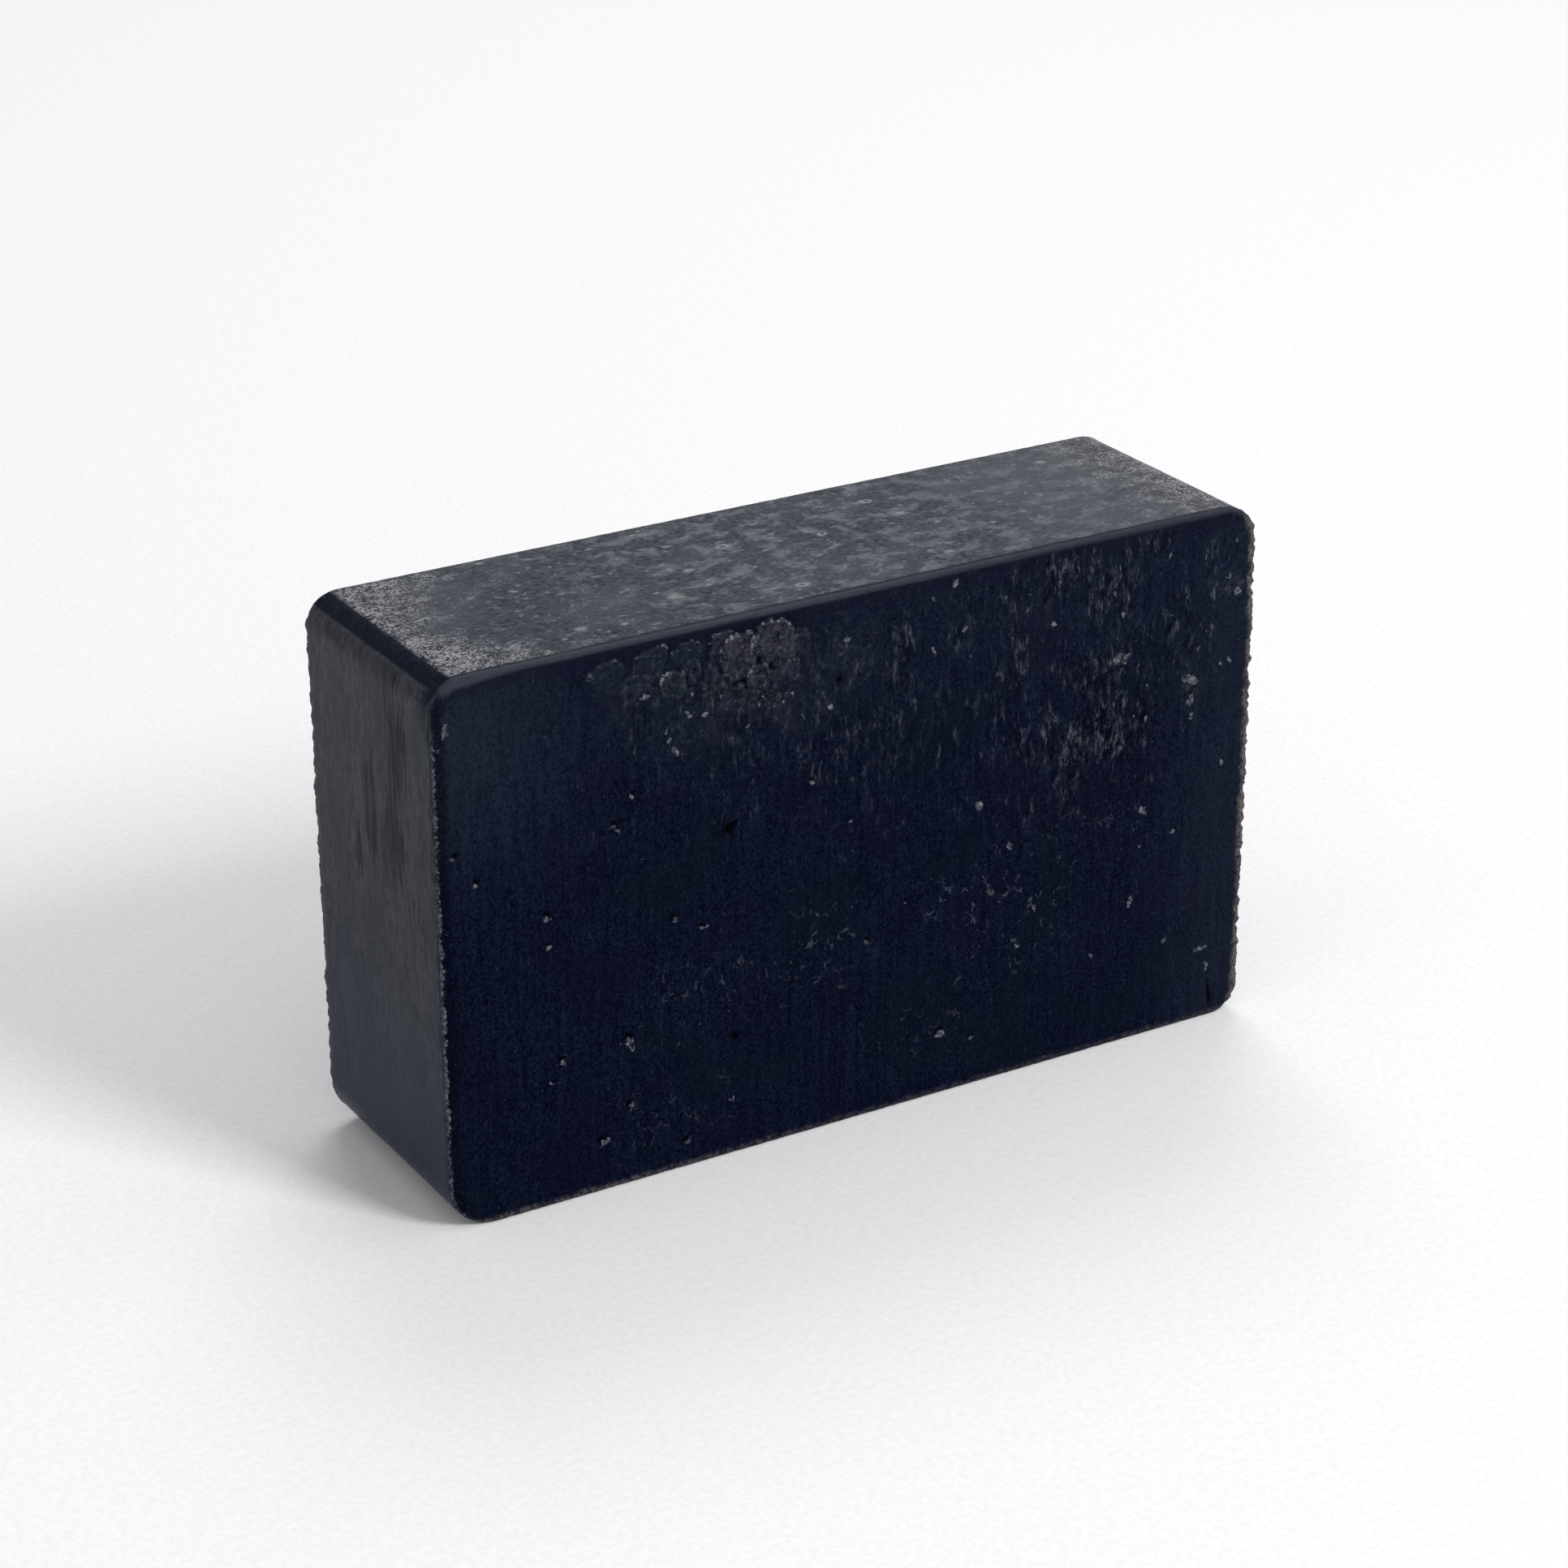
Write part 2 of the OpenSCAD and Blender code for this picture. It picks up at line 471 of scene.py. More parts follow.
def ash_on_top(x, y):
    """Pale bloom on the top: a curved band round the left end, and a little at the right."""
    points = np.stack([x, y, np.full(len(x), 2.0)], 1)
    ragged = 0.14 * layered(points, 4.0, 71)
    ring = np.hypot((x + 24) / 15.5, (y + 0.5) / 10.5) + ragged
    band = step(0.75, 1.3, ring) * step(-24, -34, x + 6 * ragged)
    band *= (0.56 + 0.62 * step(-33, -41, x)) * (1 - 0.35 * step(4, 9, y))
    right = 0.65 * step(31, 43, x + 10 * ragged)
    return np.clip(band + right, 0, 1)


def blotches_on_top(x):
    """How blotchy the top is along the bar: least in the dark part at the left, most in the middle."""
    return np.clip(0.15 + 0.85 * step(-25, -13, x) - 0.3 * step(20, 32, x), 0, 1)


def side_relief(points, nx, nz):
    """Relief in mm of the moulded sides: long soft undulation, and grain on the top."""
    wave = 0.07 * layered(points, 16.0, 91, 2)
    grain = 0.012 * layered(points, (1.2, 0.5, 1.2), 95, 2)
    return wave + grain * step(0.5, 0.9, nz)


def build_grid(block):
    """Vertices, quads and the parts they belong to: a front cap, a back cap and the sides between."""
    width, height = block["right"] - block["left"], block["top"] - block["base"]
    xs = spaced(width, EDGE_CELL, CELL) * width + block["left"]
    zs = spaced(height, EDGE_CELL, CELL) * height + block["base"]
    ys = spaced(block["back"] - block["front"], EDGE_CELL, SIDE_CELL)
    count_x, count_z, count_y = len(xs), len(zs), len(ys)
    gx, gz = np.meshgrid(xs, zs, indexing="ij")
    x, z = round_corners(block, gx.ravel(), gz.ravel())
    cap = np.arange(count_x * count_z).reshape(count_x, count_z)
    loop = np.concatenate([cap[:-1, 0], cap[-1, :-1], cap[:0:-1, -1], cap[0, :0:-1]])
    rows = [loop]
    for j in range(1, count_y - 1):
        rows.append(2 * cap.size + (j - 1) * len(loop) + np.arange(len(loop)))
    rows.append(loop + cap.size)
    quads = [
        np.stack([cap[:-1, :-1], cap[1:, :-1], cap[1:, 1:], cap[:-1, 1:]], -1).reshape(-1, 4),
        np.stack([cap[:-1, :-1], cap[:-1, 1:], cap[1:, 1:], cap[1:, :-1]], -1).reshape(-1, 4) + cap.size,
    ]
    for near, far in zip(rows, rows[1:]):
        quads.append(np.stack([near, far, np.roll(far, -1), np.roll(near, -1)], 1))
    return {"x": x, "z": z, "loop": loop, "ys": ys, "shape": cap.shape, "quads": np.concatenate(quads)}


def cap_points(block, grid, sign):
    """The front (sign -1) or back (sign 1) cap: points in mm with their relief, and masks."""
    x, z = grid["x"], grid["z"]
    depth, nx, nz = outline_depth(block, x, z)
    if sign < 0:
        places = {"lobes": LOBES, "scaly": SCALY, "streaked": STREAKED, "crackled": CRACKLED, "pits": PITS,
                  "crumbs": CRUMBS, "clefts": CLEFTS}
        uneven = 1 + 0.25 * layered(at_depth(x, z), 9.0, 61, 2)
        uneven = uneven * (1 + 1.3 * step(-35, -42, x))
        bevel_y = by_side(nx, nz, 0.3, 0.45, 0.6, 0.35)
        bevel_w = by_side(nx, nz, 1.1, 1.2, 0.48 * uneven, 0.6)
        plane = block["front"]
        face = cut_face(x, z, depth, grid["shape"], places, FRONT_SEED)
    else:
        places = back_places(np.random.default_rng(SCATTER_SEED))
        bevel_y = by_side(nx, nz, 0.12, 0.3, 0.3, 0.3)
        bevel_w = by_side(nx, nz, 0.4, 0.7, 0.5, 0.6)
        plane = block["back"]
        face = cut_face(x, z, depth, grid["shape"], places, BACK_SEED)
    fall = bevel_y * np.clip(1 - depth / bevel_w, 0, 1) ** 1.7
    y = plane + sign * (face.pop("height") - fall)
    face["cut"] = step(0.0, 0.3, depth)
    # Painted highlight on the bevel along the upper edge
    face["bevel"] = step(1.0, 0.5, depth / bevel_w) * step(0.5, 0.9, nz)
    face["strip"] = step(2.2, 0.9, depth) * step(0.5, 0.9, nz)
    corner = step(-22, -44, x) * step(28, 50, z)
    face["haze"] = np.maximum(np.maximum(corner, 0.6 * step(30, 44, x)), 0.3 * step(36, 50, z))
    face["rim"] = step(1.7, 0.9, depth) * step(-0.5, -0.9, nx)
    return np.stack([x, y, z], 1), face


def make_skin(block):
    """Every vertex of the bar in mm, its quads, and its masks."""
    grid = build_grid(block)
    front, front_face = cap_points(block, grid, -1)
    back, back_face = cap_points(block, grid, 1)
    loop = grid["loop"]
    _, nx, nz = outline_depth(block, grid["x"][loop], grid["z"][loop])
    share = np.repeat(grid["ys"][1:-1], len(loop))
    rows = len(grid["ys"]) - 2
    start, end = np.tile(front[loop], (rows, 1)), np.tile(back[loop], (rows, 1))
    sides = start * (1 - share[:, None]) + end * share[:, None]
    nx, nz = np.tile(nx, rows), np.tile(nz, rows)
    from_edge = np.minimum(share, 1 - share) * (block["back"] - block["front"])
    relief = side_relief(sides, nx, nz) * step(0.0, 1.0, from_edge)
    from_front = share * (block["back"] - block["front"])
    relief -= 0.04 * step(0.5, 0.75, nz) * step(0.35, 0.15, np.abs(from_front - 0.25))
    sides = sides + np.stack([nx, nx * 0, nz], 1) * relief[:, None]
    points = np.concatenate([front, back, sides])
    pad = np.zeros(len(front) + len(back))
    masks = {name: np.concatenate([front_face[name], back_face[name], np.zeros(len(sides))])
             for name in front_face}
    masks["top"] = np.concatenate([pad, step(0.5, 0.97, nz)])
    masks["ash"] = masks["top"] * ash_on_top(points[:, 0], points[:, 1])
    masks["blotch"] = masks["top"] * blotches_on_top(points[:, 0])
    masks["end"] = np.concatenate([pad, step(0.6, 0.95, np.abs(nx))])
    # Painted shade on the left end, next to the front at its top
    reach = step(47.0, 50.5, sides[:, 2])
    sliver = step(0.5 + 1.1 * reach, 0.2 + 0.9 * reach, from_front) * reach * step(-0.3, -0.6, nx)
    masks["edge_shade"] = np.concatenate([pad, sliver])
    return points, grid["quads"], masks


def roughen_edges(points, block, masks):
    """Crumbs and burrs along the cut edges, most on the right, and small ones on the left."""
    depth, nx, nz = outline_depth(block, points[:, 0], points[:, 2])
    depth = np.maximum(depth, 0)
    from_front = np.maximum(points[:, 1] - block["front"], 0)
    from_back = np.maximum(block["back"] - points[:, 1], 0)
    near_front = step(1.9, 0.5, np.hypot(depth, from_front * 1.6))
    near_back = step(1.4, 0.3, np.hypot(depth, from_back * 1.6))
    amount_front = by_side(nx, nz, 0.12, 0.3, 0.015, 0.05)
    amount_back = by_side(nx, nz, 0.14, 0.18, 0.02, 0.05)
    lumps = layered(points, 0.95, 501, 3, 0.6) + 0.25 * layered(points, (3, 3, 5), 505, 1)
    amount = near_front * amount_front + near_back * amount_back
    outward = np.stack([nx * 0.8, np.where(from_front < from_back, -0.5, 0.5), nz * 0.6], 1)
    points = points + outward * (amount * lumps)[:, None]
    # Brownish burrs along the cut edges, lightened by a painted highlight
    masks["burr_and_highlight"] = step(1.2, 0.4, np.hypot(depth, from_front)) * step(0.5, 0.95, nx)
    masks["burr_and_highlight"] += step(1.0, 0.3, np.hypot(depth, from_back)) * step(0.5, 0.95, np.abs(nx)) * 0.6
    left_line = step(0.65, 0.2, np.hypot(depth, from_front - 0.3)) * step(-0.5, -0.9, nx)
    broken = 0.35 + 0.65 * step(-0.1, 0.4, layered(points, (1, 1, 1.6), 509, 2))
    left_line *= broken * step(50.5, 48.5, points[:, 2])
    masks["pale"] = np.maximum(masks["pale"], left_line)
    masks["lip"] = step(2.0, 1.2, np.hypot(depth, from_front)) * step(-0.3, -0.6, nz)
    return points


def bar_mesh():
    """The bar's mesh object, in metres, with its masks as point attributes."""
    block = bare_block()
    points, quads, masks = make_skin(block)
    points = roughen_edges(points, block, masks)
    mesh = bpy.data.meshes.new("charcoal_bar")
    mesh.from_pydata((points * MM).tolist(), [], quads.tolist())
    for name, values in masks.items():
        layer = mesh.attributes.new(name, "FLOAT", "POINT")
        layer.data.foreach_set("value", np.clip(values, 0, 1).astype(np.float32))
    bar = bpy.data.objects.new("charcoal_bar", mesh)
    bpy.context.scene.collection.objects.link(bar)
    thin_out(bar)
    keep_in_box(bar.data)
    bar.data.polygons.foreach_set("use_smooth", [True] * len(bar.data.polygons))
    bar.data.materials.append(charcoal("charcoal_cast", *CAST_GLOSS))
    bar.data.materials.append(charcoal("charcoal_cut", *CUT_GLOSS))
    set_cut_faces(bar.data)
    return bar


def keep_in_box(mesh):
    """Moves vertices that stand outside the CAD node's box onto its faces."""
    low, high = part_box("bar")
    points = np.zeros(3 * len(mesh.vertices), np.float32)
    mesh.vertices.foreach_get("co", points)
    points = np.clip(points.reshape(-1, 3), np.array(low), np.array(high))
    mesh.vertices.foreach_set("co", points.ravel())


def set_cut_faces(mesh):
    """Gives the second material to the faces that the wire cut."""
    cut = np.zeros(len(mesh.vertices), np.float32)
    mesh.attributes["cut"].data.foreach_get("value", cut)
    corners = np.zeros(len(mesh.loops), np.int32)
    mesh.loops.foreach_get("vertex_index", corners)
    starts = np.zeros(len(mesh.polygons), np.int32)
    mesh.polygons.foreach_get("loop_start", starts)
    counts = np.zeros(len(mesh.polygons), np.int32)
    mesh.polygons.foreach_get("loop_total", counts)
    mean = np.add.reduceat(cut[corners], starts) / counts
    mesh.polygons.foreach_set("material_index", (mean > 0.5).astype(np.int32))


def thin_out(bar):
    """Collapses the grid where the bar is flat, and keeps it fine round pits, crumbs and edges."""
    ratio = TRIANGLES / (2 * len(bar.data.polygons))
    if ratio >= 1:
        return
    shrink = bar.modifiers.new("thin_out", "DECIMATE")
    shrink.ratio = ratio
    graph = bpy.context.evaluated_depsgraph_get()
    mesh = bpy.data.meshes.new_from_object(bar.evaluated_get(graph))
    bar.modifiers.clear()
    old = bar.data
    bar.data = mesh
    bpy.data.meshes.remove(old)
    mesh.name = "charcoal_bar"


# ---- material

# Tiny pale craters on the top where bubbles broke, placed in the same way: x, y, radius in mm
RINGS = [(-5.7, 3.9, 0.55), (4.1, 1.9, 0.5), (-4.5, -8.7, 0.55), (12.4, 7.5, 0.5)]

# Pale specks on the top: x, y, radius in mm
SPECKS = [(-17.1, -3.7, 0.5), (-16.2, -5.3, 0.8), (-15.6, -5.6, 0.6), (-10.3, 6.6, 0.6), (-17, 9.7, 0.45),
          (-11.6, 10.9, 0.4), (-0.1, 4.4, 0.45), (-11.8, -4.2, 0.4), (-23.2, -8.9, 0.5), (-11.7, -0.1, 0.7),
          (15.3, -0.9, 0.4), (19.7, -3.9, 0.4), (11.7, -8.5, 0.8), (13.5, 3, 0.7), (23.7, -0.5, 0.3),
          (33.4, 8.2, 0.8), (-42.5, 3.8, 0.15), (-42.2, 0.2, 0.18), (-27.2, -7.9, 0.8), (-28.1, 3.6, 0.5),
          (-33.9, 5.2, 0.3), (-27.5, 11.7, 0.6)]


# Colours of the two cut faces, from the plain cut to its lobes, tears, crumbs and rims, among them painted
# highlights and painted shade
CUT_DARK, CUT_LIGHT = (0, 0.0004, 0.0055, 1), (0.0044, 0.0075, 0.0205, 1)
CUT_GREEN, CUT_VIOLET = (0.0016, 0.004, 0.0075, 1), (0.0022, 0.0018, 0.009, 1)
CUT_HAZE, CUT_STRIP = (0.0095, 0.014, 0.0245, 1), (0.0045, 0.0036, 0.0115, 1)
LOBE_SIDE, LOBE_MIDDLE = (0.013, 0.019, 0.0245, 1), (0.0265, 0.0255, 0.036, 1)
# Painted highlight on the lobes' rims and raised grains, and painted shade in their gaps
LOBE_RIM_HIGHLIGHT, LOBE_GRAIN_HIGHLIGHT, LOBE_GAP_SHADE = (0.065, 0.069, 0.085, 1), (0.08, 0.084, 0.1, 1), (0.0003, 0.0005, 0.002, 1)
# Torn streaks: painted shade between them, their body colour, and a painted highlight on their ridges
TEAR_GAP_SHADE, TEAR_BODY = (0.0001, 0.0004, 0.002, 1), (0.0145, 0.0185, 0.027, 1)
TEAR_RIDGE_HIGHLIGHT = (0.08, 0.088, 0.105, 1)
# Of the next three colours, the second is pale dust with a painted highlight on ridges
STRAY, RIDGE_DUST_AND_HIGHLIGHT, CRACKLE = (0.036, 0.043, 0.06, 1), (0.05, 0.053, 0.063, 1), (0.045, 0.051, 0.058, 1)
# The first colour below is painted shade in pits, clefts and hollows
HOLLOW_SHADE, LEFT_RIM = (0.0002, 0.0003, 0.0008, 1), (0.0006, 0.001, 0.003, 1)
CRUMB_BODY, CRUMB_TIP = (0.034, 0.039, 0.05, 1), (0.125, 0.132, 0.147, 1)
# The bevel colour is a painted highlight, and the burr colour is brownish crumbs lightened by a painted
# highlight
BEVEL_HIGHLIGHT, BURR_AND_HIGHLIGHT, LIP = (0.03, 0.035, 0.047, 1), (0.094, 0.083, 0.08, 1), (0.068, 0.059, 0.067, 1)

# Colours of the top, among them a painted sheen on its right part
TOP_DARK, TOP_LIGHT = (0.008, 0.0115, 0.0195, 1), (0.047, 0.053, 0.069, 1)
TOP_CLOUD, TOP_RIGHT_SHEEN = (0.052, 0.055, 0.069, 1), (0.078, 0.081, 0.097, 1)
BLOTCH, SPOT, TOP_CRACK = (0.079, 0.087, 0.104, 1), (0.14, 0.15, 0.17, 1), (0.013, 0.015, 0.022, 1)
ASH_HAZE, ASH, ASH_GAP = (0.1, 0.103, 0.12, 1), (0.26, 0.262, 0.282, 1), (0.007, 0.009, 0.015, 1)
BUBBLE = (0.2, 0.205, 0.215, 1)

# Colours of the two ends, and of the painted shade on the edges between the moulded faces
END_DARK, END_LIGHT = (0.017, 0.0185, 0.026, 1), (0.044, 0.046, 0.055, 1)
END_CLOUD, END_LOW, RUBBED = (0.018, 0.021, 0.034, 1), (0.021, 0.028, 0.048, 1), (0.0005, 0.001, 0.011, 1)
EDGE_SHADE, EDGE_LINE = (0.0002, 0.0016, 0.0105, 1), (0.004, 0.0055, 0.012, 1)

# Specular level and roughness of the moulded faces and of the cut ones, and the fine relief of both
CAST_GLOSS, CUT_GLOSS = (0.035, 0.3), (0.018, 0.5)
SPECULAR_TINT = (0.8, 0.9, 1, 1)
BUMP_STRENGTH, BUMP_DISTANCE = 0.8, 0.0001


class Nodes:
    """Short calls for shader nodes. A value may be a number, a colour or another node's socket."""

    def __init__(self, tree):
        self.tree = tree

    def put(self, kind, inputs=(), **settings):
        node = self.tree.nodes.new("ShaderNode" + kind)
        for key, value in settings.items():
            setattr(node, key, value)
        for key, value in dict(inputs).items():
            if isinstance(value, bpy.types.NodeSocket):
                self.tree.links.new(value, node.inputs[key])
            else:
                node.inputs[key].default_value = value
        return node

    def math(self, operation, a, b=0):
        return self.put("Math", {0: a, 1: b}, operation=operation).outputs[0]

    def plus(self, a, b):
        return self.math("ADD", a, b)

    def minus(self, a, b):
        return self.math("SUBTRACT", a, b)

    def most(self, a, b):
        return self.math("MAXIMUM", a, b)

    def product(self, *values):
        total = values[0]
        for value in values[1:]:
            total = self.math("MULTIPLY", total, value)
        return total

    def mask(self, name):
        return self.put("Attribute", attribute_name=name).outputs["Fac"]

    def noise(self, places, scale, detail=2, distortion=0, roughness=0.5):
        inputs = {"Vector": places, "Scale": scale, "Detail": detail, "Distortion": distortion,
                  "Roughness": roughness}
        return self.put("TexNoise", inputs).outputs["Fac"]

    def between(self, value, low, high, to_low=0, to_high=1):
        inputs = {"Value": value, "From Min": low, "From Max": high, "To Min": to_low, "To Max": to_high}
        return self.put("MapRange", inputs, interpolation_type="SMOOTHSTEP").outputs["Result"]

    def blend(self, share, first, second):
        node = self.put("Mix", {0: share, 6: first, 7: second}, data_type="RGBA")
        return node.outputs[2]

    def painted(self, colour, *coats):
        """Lays coats over a colour, one after another. Each is a share from 0 to 1 and its paint."""
        for share, paint in coats:
            colour = self.blend(share, colour, paint)
        return colour

    def stretched(self, places, x, y, z):
        return self.put("VectorMath", {0: places, 1: (x, y, z)}, operation="MULTIPLY").outputs[0]

    def upright(self, places, z):
        return self.stretched(places, 1, 1, z)

    def add(self, first, second):
        return self.put("VectorMath", {0: first, 1: second}, operation="ADD").outputs[0]

    def part(self, vector, index):
        return self.put("SeparateXYZ", {0: vector}).outputs[index]

    def distance(self, places, point):
        node = self.put("VectorMath", {0: places, 1: point}, operation="DISTANCE")
        return node.outputs["Value"]


def bubble_marks(n, places):
    """How pale the top is from its craters and specks, 0 to 1."""
    flat = n.stretched(places, 0.75, 1, 0)
    wavy = n.put("TexNoise", {"Vector": places, "Scale": 1400, "Detail": 2}).outputs["Color"]
    shift = n.stretched(wavy, 0.0006, 0.0006, 0)
    moved = n.put("VectorMath", {0: flat, 1: shift}, operation="ADD").outputs[0]
    total = 0
    for x, y, radius in RINGS:
        reach = n.distance(moved, ((0.75 * x + 0.3) * MM, (y + 0.3) * MM, 0))
        off_ring = n.math("ABSOLUTE", n.minus(reach, 0.7 * radius * MM))
        total = n.most(total, n.between(off_ring, 0, 0.45 * radius * MM, 1, 0))
    for x, y, radius in SPECKS:
        reach = n.distance(moved, ((0.75 * x + 0.3) * MM, (y + 0.3) * MM, 0))
        total = n.most(total, n.between(reach, 0.3 * radius * MM, 0.8 * radius * MM, 0.75, 0))
    return n.product(total, n.mask("top"))


def tufts(n, places, width, height):
    """Torn crumbs that overlap like scales, on the cut faces: relief, and how strong a painted highlight on
    each upper rim is.
    """
    flat = n.stretched(places, 1 / (width * MM), 0, 1 / (height * MM))
    wavy = n.put("TexNoise", {"Vector": flat, "Scale": 0.8, "Detail": 3}).outputs["Color"]
    moved = n.add(flat, n.stretched(wavy, 0.9, 0, 0.9))
    nearest = n.put("TexVoronoi", {"Vector": moved, "Scale": 1})
    local = n.put("VectorMath", {0: moved, 1: nearest.outputs["Position"]}, operation="SUBTRACT")
    rise = n.between(n.part(local.outputs[0], 2), -0.4, 0.5)
    inside = n.between(nearest.outputs["Distance"], 0.62, 0.4)
    own = n.part(nearest.outputs["Color"], 0)
    relief = n.product(n.plus(n.product(own, 0.35), n.product(rise, 0.65)), inside)
    lit = n.product(own, rise, inside)
    return relief, lit


def plain_cut(n, weave, drift):
    """Blue-black of a fresh cut, greener and more violet in places, hazy at the upper left."""
    colour = n.blend(n.between(weave, 0.39, 0.65), CUT_DARK, CUT_LIGHT)
    hazy = n.product(n.mask("haze"), n.between(weave, 0.35, 0.62, 0.35, 1))
    return n.painted(
        colour,
        (n.between(drift, 0.5, 0.62, 0, 0.4), CUT_GREEN),
        (n.between(drift, 0.46, 0.37, 0, 0.4), CUT_VIOLET),
        (hazy, CUT_HAZE),
        (n.product(n.mask("strip"), 0.6), CUT_STRIP),
    )


def lobe_colour(n, places, colour, drift, coarse, lit):
    """Paints the torn lobes: purple-grey in the middle ones, greenish in the rest, with a painted highlight
    on their upper rims and raised grains, and painted shade in the gaps.
    """
    torn = n.mask("torn")
    along = n.plus(n.part(places, 0), n.product(drift, 0.004))
    middle = n.product(n.between(along, -0.016, -0.0135), n.between(along, -0.0045, -0.006))
    body = n.blend(middle, LOBE_SIDE, LOBE_MIDDLE)
    return n.painted(
        colour,
        (n.product(torn, n.between(coarse, 0.36, 0.58, 0.2, 1)), body),
        (n.product(torn, n.between(lit, 0.45, 0.65, 0, 0.6)), LOBE_RIM_HIGHLIGHT),
        (n.product(torn, n.between(coarse, 0.6, 0.68, 0, 0.6)), LOBE_GRAIN_HIGHLIGHT),
        (n.product(torn, n.between(coarse, 0.46, 0.38, 0, 0.5)), LOBE_GAP_SHADE),
    )


def tear_colour(n, colour, tears, busy, clumps):
    """Paints the torn streaks, with painted shade between them and a painted highlight on their ridges, and
    a few stray ones.
    """
    stray = n.product(n.between(tears, 0.6, 0.7), n.between(clumps, 0.48, 0.6))
    return n.painted(
        colour,
        (n.product(busy, n.between(tears, 0.5, 0.43, 0, 0.9)), TEAR_GAP_SHADE),
        (n.product(busy, n.between(tears, 0.49, 0.56, 0, 0.85)), TEAR_BODY),
        (n.product(busy, n.between(tears, 0.57, 0.64)), TEAR_RIDGE_HIGHLIGHT),
        (n.product(stray, 0.35), STRAY),
    )


def crumb_colour(n, places, colour, grit):
    """Paints pale dust with a painted highlight on ridges, crackle lines, painted shade in the hollows, the
    dark left rim and the pale crumbs.
    """
    grain = n.noise(places, 3800, 3)
    speckle = n.noise(places, 2600, 4, 0.6, 0.7)
    ragged = n.plus(n.mask("pale"), n.product(n.minus(speckle, 0.5), 2))
    tips = n.product(n.between(n.mask("pale"), 0.15, 0.4), n.between(speckle, 0.5, 0.6))
    return n.painted(
        colour,
        (n.product(n.mask("ridge_dust_and_highlight"), n.between(grain, 0.42, 0.6, 0, 0.6)), RIDGE_DUST_AND_HIGHLIGHT),
        (crackle_lines(n, places), CRACKLE),
        (n.mask("hollow_shade"), HOLLOW_SHADE),
        (n.product(n.mask("rim"), n.between(grit, 0.3, 0.6, 0.95, 0.5)), LEFT_RIM),
        (n.between(ragged, 0.3, 0.45), CRUMB_BODY),
        (tips, CRUMB_TIP),
    )


def cut_colour(n, places):
    """Colour of the cut faces, with torn patches, streaks and pale crumbs, and their fine relief."""
    grit = n.noise(n.upright(places, 0.75), 3900, 4, 0.2, 0.7)
    thread = n.noise(n.upright(places, 0.08), 1700, 3, 0.4)
    weave = n.plus(n.product(grit, 0.78), n.product(thread, 0.22))
    drift = n.noise(places, 85, 3)
    clumps = n.noise(n.upright(places, 0.38), 520, 4, 0.3, 0.6)
    lobes, lit = tufts(n, places, 0.6, 0.5)
    coarse = n.noise(places, 1300, 4, 0.8, 0.65)
    tears = n.noise(n.upright(places, 0.36), 1750, 6, 0.4, 0.75)
    columns = n.noise(n.upright(places, 0.07), 430, 2)
    mixed = n.plus(n.product(clumps, 0.6), n.product(columns, 0.4))
    busy = n.product(n.mask("streaked"), n.between(mixed, 0.42, 0.53))

    colour = plain_cut(n, weave, drift)
    colour = lobe_colour(n, places, colour, drift, coarse, lit)
    colour = tear_colour(n, colour, tears, busy, clumps)
    colour = crumb_colour(n, places, colour, grit)
    torn_relief = n.product(n.plus(coarse, lobes), n.mask("torn"), 1.2)
    relief = n.plus(n.product(weave, 0.9), torn_relief)
    return colour, n.plus(relief, n.product(tears, busy, 1.8))


def crackle_lines(n, places):
    """Fine broken lines where the skin of the cut face has crazed."""
    flat = n.stretched(places, 0.9, 1, 0.75)
    wavy = n.put("TexNoise", {"Vector": places, "Scale": 1100, "Detail": 3}).outputs["Color"]
    moved = n.add(flat, n.stretched(wavy, 0.0008, 0, 0.0008))
    crazed = n.put("TexVoronoi", {"Vector": moved, "Scale": 1250}, feature="DISTANCE_TO_EDGE")
    line = n.between(crazed.outputs["Distance"], 0.03, 0.08, 1, 0)
    broken = n.between(n.noise(places, 620, 6, 0, 0.7), 0.54, 0.59)
    return n.product(n.mask("crackled"), line, broken)


def rubbed_places(n, places):
    """Where handling has rubbed the left end: ragged upright streaks inside soft ellipses, 0 to 1."""
    streaks = n.noise(n.upright(places, 0.11), 1250, 5, 0.3, 0.68)
    total = 0
    for y, z, half_w, half_h, strength in SCUFFS:
        local = n.stretched(places, 0, 1 / (half_w * MM), 1 / (half_h * MM))
        reach = n.distance(local, (0, y / half_w, z / half_h))
        total = n.most(total, n.between(reach, 0.2, 1.1, strength, 0))
    rubbed = n.between(n.plus(streaks, n.product(total, 0.22)), 0.57, 0.69)
    left = n.between(n.part(places, 0), 0, -0.03)
    return n.product(rubbed, n.between(total, 0, 0.3), n.mask("end"), left)


def dark_band(n, places):
    """Painted shade on the upper part of the long rounded edge on the left, which stays darker than its
    neighbours.
    """
    block = bare_block()
    radius = RADII["upper_left"] * MM
    centre = (block["left"] * MM + radius, 0, block["top"] * MM - radius)
    local = n.add(n.stretched(places, 1, 0, 1), (-centre[0], 0, -centre[2]))
    rise = n.math("DIVIDE", n.part(local, 2), n.distance(local, (0, 0, 0)))
    crisp = n.between(rise, 0.62, 0.7)
    soft = n.between(rise, 0.995, 0.955)
    return n.product(crisp, soft, n.between(n.part(local, 0), 0, -0.0003))


def edge_line(n, places):
    """The thin dark line along the top just behind its bevelled front edge."""
    wavy = n.minus(n.noise(n.stretched(places, 1, 0, 0), 260, 3), 0.5)
    y = n.plus(n.part(places, 1), n.product(wavy, -0.0006))
    middle = (bare_block()["front"] + 0.85) * MM
    off_line = n.math("ABSOLUTE", n.minus(y, middle))
    return n.between(off_line, 0.0002, 0.0004, 0.9, 0)


